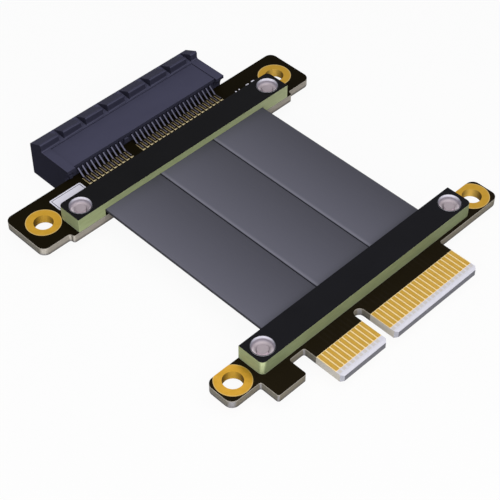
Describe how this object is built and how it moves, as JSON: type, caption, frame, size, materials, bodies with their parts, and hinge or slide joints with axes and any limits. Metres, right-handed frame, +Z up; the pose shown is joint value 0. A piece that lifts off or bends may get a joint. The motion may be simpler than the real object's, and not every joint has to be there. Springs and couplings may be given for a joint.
{
  "type": "card-edge extension cable",
  "caption": "Flat card-edge extension cable: a keyed gold edge connector on one small board, a slot connector on another, joined by flat ribbons under riveted bars.",
  "frame": {"origin": "bottom centre of the whole part's box: the middle of the contact rows across, halfway from the tongue's tip to the slot's mouth, at the slot housing's underside", "axes": "+X along the contact rows, from the short group to the long group; +Y from the card edge to the slot; +Z up, square to the boards"},
  "size_m": [0.067, 0.0758, 0.0087],
  "materials": {
    "housing": "moulded, dark blue-grey",
    "board": "glass-epoxy board with black solder mask, bare grey edges",
    "laminate": "thick laminate, black on top, green core at the sides",
    "ribbon": "flat extruded jacket, dark grey",
    "gold": "thin gold plate over nickel",
    "lead_metal": "tin-plated copper alloy strip",
    "rivet_metal": "bright, turned",
    "pin_metal": "satin",
    "wire_metal": "tinned copper"
  },
  "bodies": {
    "root": {"slot_housing": "housing", "slot_contacts_top": "lead_metal", "slot_contacts_bottom": "lead_metal", "slot_board": "board", "slot_pads_top": "gold", "slot_pads_bottom": "gold", "slot_hole_plating_left": "gold", "slot_hole_plating_right": "gold", "slot_cover_bar": "laminate", "slot_rivet_left": "rivet_metal", "slot_rivet_right": "rivet_metal", "slot_rivet_pin_left": "pin_metal", "slot_rivet_pin_right": "pin_metal", "card_board": "board", "edge_fingers_top": "gold", "edge_fingers_bottom": "gold", "card_hole_plating_left": "gold", "card_hole_plating_right": "gold", "card_cover_bar": "laminate", "card_rivet_left": "rivet_metal", "card_rivet_right": "rivet_metal", "card_rivet_pin_left": "pin_metal", "card_rivet_pin_right": "pin_metal", "ribbon_left": "ribbon", "ribbon_middle": "ribbon", "ribbon_right": "ribbon", "slot_wire_tails": "wire_metal", "card_wire_tails": "wire_metal", "slot_cable_pads": "gold", "card_cable_pads": "gold"}
  },
  "joints": []
}
